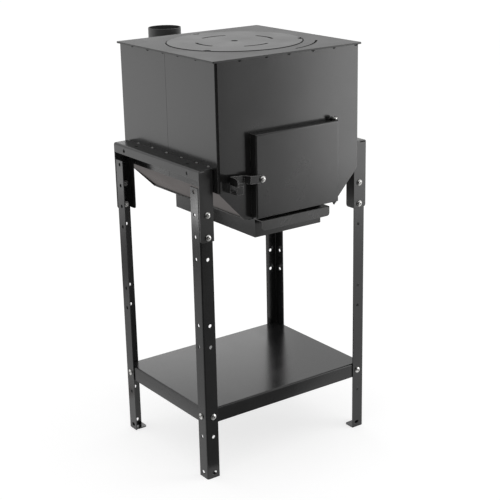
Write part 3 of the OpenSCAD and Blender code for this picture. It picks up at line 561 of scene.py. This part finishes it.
def ringSamples(centre, radius):
    count = int(2 * math.pi * radius / bead["step"])
    samples = []
    for i in range(count + 1):
        turn = 2 * math.pi * i / count
        out = Vector((math.cos(turn), math.sin(turn), 0))
        samples.append((centre + out * radius, out, Vector((0, 0, 1))))
    return samples


def joinRings(mesh, rings):
    for first, second in zip(rings, rings[1:]):
        for i in range(len(first)):
            j = (i + 1) % len(first)
            mesh.faces.new((first[i], first[j], second[j], second[i]))
    for ring in (rings[0], rings[-1]):
        mesh.faces.new(ring)


def layBead(mesh, samples, leg, taper):
    # one fillet: a rounded corner section swept along the samples, with the ripples of the weld pool
    rings = []
    corners = bead["corners"]
    travelled = 0.0
    total = sum((samples[i + 1][0] - samples[i][0]).length for i in range(len(samples) - 1))
    last = samples[0][0]
    for point, sideA, sideB in samples:
        travelled += (point - last).length
        last = point
        fade = 1.0
        if taper:
            fromEnd = min(travelled, total - travelled)
            fade = min(1.0, bead["endSize"] + (1 - bead["endSize"]) * math.sqrt(min(1.0, fromEnd / taper)))
        ripple = bead["rippleDepth"] * math.sin(2 * math.pi * travelled / bead["ripple"])
        size = leg * fade * (1 + ripple + draw.uniform(-bead["uneven"], bead["uneven"]))
        ring = [mesh.verts.new(point - (sideA + sideB) * leg * bead["sink"])]
        for i in range(corners + 1):
            angle = math.pi / 2 * i / corners
            reach = bead["hollow"] if 0 < i < corners else 1.0
            spot = point + (sideA * math.cos(angle) + sideB * math.sin(angle)) * size * reach
            if i in (0, corners):
                spot -= (sideB if i == 0 else sideA) * leg * bead["tuck"]
            ring.append(mesh.verts.new(spot))
        rings.append(ring)
    joinRings(mesh, rings)


def layTack(mesh, centre, along, sideA, sideB, leg, length=bead["tackLength"]):
    half = along * length / 2000 * draw.uniform(*bead["tackLengths"])
    samples = runSamples(centre - half, centre + half, sideA, sideB)
    layBead(mesh, samples, leg * draw.uniform(*bead["tackLegs"]), bead["tackTaper"])


def layRun(mesh, start, end, sideA, sideB, leg):
    layBead(mesh, runSamples(start, end, sideA, sideB), leg, bead["runTaper"])


def finishPiece(name, mesh, finish, body):
    bmesh.ops.recalc_face_normals(mesh, faces=mesh.faces)
    data = bpy.data.meshes.new(name)
    mesh.to_mesh(data)
    mesh.free()
    data.shade_smooth()
    data.materials.append(finishes[finish])
    piece = bpy.data.objects.new(name, data)
    scene.collection.objects.link(piece)
    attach(piece, body)


# Tacks under the top plate: along the side walls, along the front and rear walls, and round the hob
topTacks = {
    "sides": (135, 70, 7, -53, -122), "sideWall": 192,
    "ends": (-130, -61, -2, 63, 121, 184), "endWall": 194, "endLean": 0.75,
    "ringCount": 8, "ringRadius": 0.166, "ringMiddle": 10, "height": 944, "leg": 0.0038,
}


def topPlateTacks(settings):
    mesh = bmesh.new()
    leg, height, count = settings["leg"], settings["height"], settings["ringCount"]
    for y in settings["sides"]:
        for side in (-1, 1):
            layTack(mesh, at(side * settings["sideWall"], y, height), axisY, axisX * side, -axisZ, leg)
    for x in settings["ends"]:
        for side in (-1, 1):
            place = at(x * -side, side * settings["endWall"], height)
            layTack(mesh, place, axisX, axisY * side * settings["endLean"], -axisZ, leg)
    for i in range(count):
        turn = 2 * math.pi * (i + 0.5) / count
        out = Vector((math.cos(turn), math.sin(turn), 0))
        place = at(0, settings["ringMiddle"], height) + out * settings["ringRadius"]
        layTack(mesh, place, Vector((-out.y, out.x, 0)), out, -axisZ, leg)
    # their finish is darker than the paint, as painted shade under the plate's overhang
    finishPiece("welds_top_plate", mesh, "tackShadeBlack", "stove")


# Tacks that hold the side brackets on the walls, above and below the bracket's top
bracketBeads = {
    "wall": 192, "above": (170, 128, 67, 7, -54, -114, -159), "top": 721,
    "below": (150, 60, -60, -150), "under": 718.5, "belowLength": 14, "leg": 0.0032,
}


def bracketTacks(settings):
    mesh = bmesh.new()
    wall, leg = settings["wall"], settings["leg"]
    for side in (-1, 1):
        for y in settings["above"]:
            layTack(mesh, at(side * wall, y, settings["top"]), axisY, axisX * side, axisZ, leg)
        for y in settings["below"]:
            layTack(mesh, at(side * wall, y, settings["under"]), axisY, axisX * side, -axisZ, leg,
                    settings["belowLength"])
    # their finish is a lighter grey, as a painted highlight
    finishPiece("welds_brackets", mesh, "weldHighlightGrey", "stove")


# Runs along the hopper's lower corners, and tacks under the base
hopperWelds = {
    "corner": 126, "from": -191, "to": 173, "height": 601.6, "lean": 1.6, "leg": 0.0022,
    "base": 112.5, "baseTacks": (-150, -70, 10, 90), "baseHeight": 600, "baseLength": 12, "baseLeg": 0.0024,
}


def hopperBeads(settings):
    mesh = bmesh.new()
    slant = Vector((1, 0, 1)).normalized()
    for side in (-1, 1):
        away = Vector((side * slant.x, 0, slant.z))
        corner = side * settings["corner"]
        down = (axisX * side - axisZ * settings["lean"]).normalized()
        start, end = (at(corner, settings[key], settings["height"]) for key in ("from", "to"))
        layRun(mesh, start, end, away, down, settings["leg"])
        for y in settings["baseTacks"]:
            place = at(side * settings["base"], y, settings["baseHeight"])
            layTack(mesh, place, axisY, axisX * side, -axisZ, settings["baseLeg"], settings["baseLength"])
    finishPiece("welds_hopper", mesh, "weldBlack", "stove")


# Runs round the smoke box where it meets the rear wall, and a ring round the spigot
flueWelds = {
    "half": 62, "wall": 194, "low": 783, "high": 903,
    "spigot": (0, 307, 903), "spigotRadius": 0.040, "leg": 0.0032,
}


def flueBeads(settings):
    mesh = bmesh.new()
    half, wall, low, high, leg = (settings[key] for key in ("half", "wall", "low", "high", "leg"))
    for side in (-1, 1):
        layRun(mesh, at(side * half, wall, low), at(side * half, wall, high), axisX * side, axisY, leg)
    layRun(mesh, at(-half, wall, high), at(half, wall, high), axisZ, axisY, leg)
    layRun(mesh, at(-half, wall, low), at(half, wall, low), -axisZ, axisY, leg)
    layBead(mesh, ringSamples(at(*settings["spigot"]), settings["spigotRadius"]), leg, 0)
    finishPiece("welds_flue", mesh, "weldBlack", "stove")


# Runs beside the hinge lugs, over the upper lug and beside the latch keeper
frontWelds = {"leg": 0.0024}


def frontBeads(settings):
    mesh = bmesh.new()
    leg = settings["leg"]

    def layUprights(low, high):
        for x, side in ((low.x, -1), (high.x, 1)):
            layRun(mesh, Vector((x, high.y, low.z)), Vector((x, high.y, high.z)), axisX * side, -axisY, leg)

    low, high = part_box("hinge_lug_upper")
    layUprights(low, high)
    layUprights(*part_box("hinge_lug_lower"))
    layRun(mesh, Vector((low.x, high.y, high.z)), high, axisZ, -axisY, leg)
    layUprights(*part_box("latch_keeper"))
    finishPiece("welds_front", mesh, "weldBlack", "stove")


# Tacks on the drawer's front under the flange of its grip, whose sheet is given in metres
drawerWelds = {"places": (-66, -22, 22, 66), "sheet": 0.002, "length": 16, "leg": 0.0024}


def drawerBeads(settings):
    mesh = bmesh.new()
    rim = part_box("drawer_handle")[1].z - settings["sheet"]
    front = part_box("ash_drawer")[0].y
    for x in settings["places"]:
        place = Vector((x / 1000, front, rim))
        layTack(mesh, place, axisX, -axisY, -axisZ, settings["leg"], settings["length"])
    finishPiece("welds_drawer", mesh, "weldBlack", "drawer")


# The butt joint of the two bent sheets: a narrow dark line with a low ground bead
seam = {
    "wall": 192, "low": 668.5, "high": 943.6, "step": 0.004, "half": 0.00042, "halves": (0.75, 1.25),
    "profile": ((-1.0, -0.00005), (-0.55, 0.00012), (0.55, 0.00012), (1.0, -0.00005)),
}


def sideSeams(settings):
    mesh = bmesh.new()
    low, length = settings["low"], settings["high"] - settings["low"]
    count = int(length / 1000 / settings["step"])
    for side in (-1, 1):
        rows = []
        for i in range(count + 1):
            half = settings["half"] * draw.uniform(*settings["halves"])
            centre = at(side * settings["wall"], 0, low + length * i / count)
            rows.append([mesh.verts.new(centre + axisY * across * half + axisX * side * out)
                         for across, out in settings["profile"]])
        joinRings(mesh, rows)
    finishPiece("seam_side_walls", mesh, "seamBlack", "stove")


topPlateTacks(topTacks)
bracketTacks(bracketBeads)
hopperBeads(hopperWelds)
flueBeads(flueWelds)
frontBeads(frontWelds)
drawerBeads(drawerWelds)
sideSeams(seam)
print("welds and seams laid")

# The loose lid of the hob, in millimetres and degrees: a thick plate with a rounded rim, tool notches,
# air slots and a lifter hole. It lies flush in the top plate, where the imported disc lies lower.
hobLid = {
    "middle": (0.0, 10.0), "radius": 154.0, "low": 940.5, "high": 949.0, "round": 1.2,
    "notchRadius": 10.0, "notchAngles": (-28, 92, 212),
    "slotRadius": 88.0, "slotWidth": 4.6, "slotHalf": 20.0, "slotAngles": (0, 90, 180, 270),
    "lifterRadius": 7.5, "lifterStep": 12, "step": 1.5, "notchStep": 15, "slotEndStep": 30,
    "roundSteps": 2, "closeSeams": 0.01, "sharpAngle": 14,
}


def arcPoints(middle, radius, first, last, step, fewest=3):
    count = max(fewest, round(abs(last - first) / step))
    turns = [math.radians(first + (last - first) * i / count) for i in range(count + 1)]
    return [(middle[0] + radius * math.cos(turn), middle[1] + radius * math.sin(turn)) for turn in turns]


def onRing(settings, radius, angle):
    turn = math.radians(angle)
    x, y = settings["middle"]
    return (x + radius * math.cos(turn), y + radius * math.sin(turn))


def lidOutline(settings):
    radius, bite = settings["radius"], settings["notchRadius"]
    half = math.degrees(2 * math.asin(bite / 2 / radius))
    angles = sorted(settings["notchAngles"])
    points = []
    for angle, following in zip(angles, angles[1:] + [angles[0] + 360]):
        centre = onRing(settings, radius, angle)
        notch = arcPoints(centre, bite, angle - 90 - half / 2, angle - 270 + half / 2, settings["notchStep"])
        rim = arcPoints(settings["middle"], radius, angle + half, following - half, settings["step"])
        points += notch[:-1] + rim[:-1]
    return points


def slotOutline(settings, angle):
    radius, wide, half = settings["slotRadius"], settings["slotWidth"] / 2, settings["slotHalf"]
    middle, step, endStep = settings["middle"], settings["step"], settings["slotEndStep"]
    first, last = angle - half, angle + half
    outer = arcPoints(middle, radius + wide, first, last, step)
    farEnd = arcPoints(onRing(settings, radius, last), wide, last, last + 180, endStep)
    inner = arcPoints(middle, radius - wide, last, first, step)
    nearEnd = arcPoints(onRing(settings, radius, first), wide, first + 180, first + 360, endStep)
    return (outer[:-1] + farEnd[:-1] + inner[:-1] + nearEnd[:-1])[::-1]


def drawLid(settings):
    # a filled flat curve, thickened, with its rims rounded
    outlines = [lidOutline(settings)] + [slotOutline(settings, angle) for angle in settings["slotAngles"]]
    lifter = arcPoints(settings["middle"], settings["lifterRadius"], 360, 0, settings["lifterStep"])
    outlines.append(lifter[:-1])
    curve = bpy.data.curves.new("hob_lid", "CURVE")
    curve.dimensions = "2D"
    curve.fill_mode = "BOTH"
    curve.extrude = ((settings["high"] - settings["low"]) / 2 - settings["round"]) / 1000
    curve.bevel_depth = settings["round"] / 1000
    curve.bevel_resolution = settings["roundSteps"]
    curve.offset = -settings["round"] / 1000
    for outline in outlines:
        line = curve.splines.new("POLY")
        line.points.add(len(outline) - 1)
        for point, (x, y) in zip(line.points, outline):
            point.co = (*at(x, y, 0)[:2], 0, 1)
        line.use_cyclic_u = True
    drawn = bpy.data.objects.new("hob_lid_drawn", curve)
    scene.collection.objects.link(drawn)
    data = bpy.data.meshes.new_from_object(drawn.evaluated_get(bpy.context.evaluated_depsgraph_get()))
    bpy.data.objects.remove(drawn)
    return data


def makeLid(settings):
    data = drawLid(settings)
    lid = bmesh.new()
    lid.from_mesh(data)
    bmesh.ops.remove_doubles(lid, verts=lid.verts, dist=settings["closeSeams"] / 1000)
    bmesh.ops.translate(lid, verts=lid.verts, vec=(0, 0, (settings["high"] + settings["low"]) / 2000))
    bmesh.ops.recalc_face_normals(lid, faces=lid.faces)
    lid.to_mesh(data)
    openEdges = sum(1 for edge in lid.edges if len(edge.link_faces) != 2)
    lid.free()
    data.shade_smooth()
    data.set_sharp_from_angle(angle=math.radians(settings["sharpAngle"]))
    data.materials.clear()
    data.materials.append(finishes["discBlack"])
    piece = bpy.data.objects.new("hob_lid", data)
    scene.collection.objects.link(piece)
    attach(piece, "disc")
    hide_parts("hob_disc")
    print("lid made,", len(data.polygons), "faces,", openEdges, "open edges")


makeLid(hobLid)

# Floor, world and lamps, in metres and watts
stage = {
    "floorSize": 40.0,
    "floorColour": 0.50,
    "floorLift": 0.68,
    "worldLevel": 0.70,
    "lamps": [
        {"name": "leftRear", "power": 2.1, "size": (1.9, 0.66),
         "place": (-1.95, 2.35, 0.30), "aim": (0, 0, 0.6)},
        {"name": "rightRear", "power": 1.2, "size": (1.1, 0.55),
         "place": (1.30, 3.0, 0.92), "aim": (0, 0, 0.4)},
        {"name": "shelfLight", "power": 0.68, "size": (0.75, 0.32),
         "place": (0.72, 1.38, 0.74), "aim": (-0.05, 0.05, 0.17)},
        {"name": "frontRight", "power": 13.6, "size": (1.25, 1.05),
         "place": (1.93, -1.63, 0.55), "aim": (0, 0, 0.7)},
    ],
}


def seenDirectly(tree):
    # 1 for what the camera, a reflection or clear glass shows, 0 for light that falls on the stove
    path = addNode(tree, "ShaderNodeLightPath").outputs
    seen = calculate(tree, "MAXIMUM", path["Is Camera Ray"], path["Is Glossy Ray"])
    return calculate(tree, "MAXIMUM", seen, path["Is Transmission Ray"])


def makeWorld(settings):
    world = bpy.data.worlds.new("studio")
    world.use_nodes = True
    tree = world.node_tree
    back = tree.nodes["Background"]
    back.inputs["Color"].default_value = (1, 1, 1, 1)
    level = spread(tree, seenDirectly(tree), settings["worldLevel"], 1.0, 0.0, 1.0)
    join(tree, level, back.inputs["Strength"])
    scene.world = world


def makeFloor(settings):
    half = settings["floorSize"] / 2
    mesh = bpy.data.meshes.new("studioFloor")
    corners = [(-half, -half, 0), (half, -half, 0), (half, half, 0), (-half, half, 0)]
    mesh.from_pydata(corners, [], [(0, 1, 2, 3)])
    floor = bpy.data.objects.new("studioFloor", mesh)
    scene.collection.objects.link(floor)
    material, tree, shader = newMaterial("studioFloor")
    tree.nodes.remove(shader)
    matt = addNode(tree, "ShaderNodeBsdfDiffuse", {"Color": grey(settings["floorColour"])})
    lift = calculate(tree, "MULTIPLY", seenDirectly(tree), settings["floorLift"])
    glow = addNode(tree, "ShaderNodeEmission")
    join(tree, lift, glow.inputs["Strength"])
    both = addNode(tree, "ShaderNodeAddShader")
    join(tree, matt.outputs[0], both.inputs[0])
    join(tree, glow.outputs[0], both.inputs[1])
    join(tree, both.outputs[0], tree.nodes["Material Output"].inputs["Surface"])
    mesh.materials.append(material)


def addLamp(settings):
    data = bpy.data.lights.new(settings["name"], "AREA")
    data.shape = "RECTANGLE"
    data.size, data.size_y = settings["size"]
    data.energy = settings["power"]
    lamp = bpy.data.objects.new(settings["name"], data)
    place = Vector(settings["place"])
    lamp.location = place
    lamp.rotation_euler = (Vector(settings["aim"]) - place).to_track_quat("-Z", "Y").to_euler()
    lamp.visible_camera = False
    scene.collection.objects.link(lamp)


# Cards that only reflections see, as a photographer's flags and reflectors. One with a height stands
# on its foot along its corners, the others lie just above the floor.
cards = [
    {"name": "sideFlag", "glow": 0.07, "height": 1.7,
     "corners": ((-2.7, 0.7), (-2.6, -1.0), (-1.9, -2.1), (-0.9, -2.3))},
    {"name": "frontFlag", "glow": 0.005, "height": 1.7,
     "corners": ((-0.9, -2.3), (-0.6, -2.3), (0.92, -2.0))},
    {"name": "floorFlag", "glow": 0.03,
     "corners": ((-2.6, -0.6), (-1.9, -2.1), (-0.6, -2.3), (1.15, -2.0), (0.45, -0.6),
                 (-0.1, -0.36), (-0.3, -0.27))},
    {"name": "nearFloor", "glow": 0.22, "lift": 0.006,
     "corners": ((-0.45, -0.30), (-0.5, -1.6), (0.95, -1.6), (0.45, -0.6), (-0.1, -0.27))},
    {"name": "rearFloor", "glow": 0.46, "tint": (1.06, 0.99, 0.97),
     "corners": ((-0.35, 0.25), (0.7, 0.25), (1.0, 1.5), (-0.35, 1.5))},
    {"name": "frontGlint", "glow": 5.0, "foot": 0.425, "height": 0.07,
     "corners": ((-0.57, 0.18), (-0.57, 0.35))},
    {"name": "rearGlint", "glow": 2.2, "foot": 0.425, "height": 0.07,
     "corners": ((-0.57, 0.62), (-0.57, 0.80))},
    {"name": "leftFloor", "glow": 0.72,
     "corners": ((-0.40, -0.15), (-0.40, 1.0), (-1.3, 1.0), (-1.3, -0.15))},
    {"name": "leftRearFloor", "glow": 0.32,
     "corners": ((-0.40, 1.0), (-0.40, 1.6), (-1.3, 1.6), (-1.3, 1.0))},
]
plainCard = {"foot": 0.0, "lift": 0.004, "tint": (1, 1, 1)}


def addCard(settings):
    mesh = bpy.data.meshes.new(settings["name"])
    corners = settings["corners"]
    count = len(corners)
    if "height" in settings:
        foot = settings["foot"]
        low = [(x, y, foot) for x, y in corners]
        high = [(x, y, foot + settings["height"]) for x, y in corners]
        mesh.from_pydata(low + high, [], [(i, i + 1, count + i + 1, count + i) for i in range(count - 1)])
    else:
        mesh.from_pydata([(x, y, settings["lift"]) for x, y in corners], [], [tuple(range(count))])
    card = bpy.data.objects.new(settings["name"], mesh)
    scene.collection.objects.link(card)
    material, tree, shader = newMaterial(settings["name"])
    tree.nodes.remove(shader)
    colour = grey(1.0, settings["tint"])
    glow = addNode(tree, "ShaderNodeEmission", {"Color": colour, "Strength": settings["glow"]})
    join(tree, glow.outputs[0], tree.nodes["Material Output"].inputs["Surface"])
    mesh.materials.append(material)
    card.visible_camera = False
    card.visible_diffuse = False
    card.visible_shadow = False
    card.visible_transmission = False


makeWorld(stage)
makeFloor(stage)
for lamp in stage["lamps"]:
    addLamp(lamp)
for card in cards:
    addCard({**plainCard, **card})
scene.view_settings.view_transform = "Standard"
print("stage set:", len(stage["lamps"]), "lamps,", len(cards), "cards")
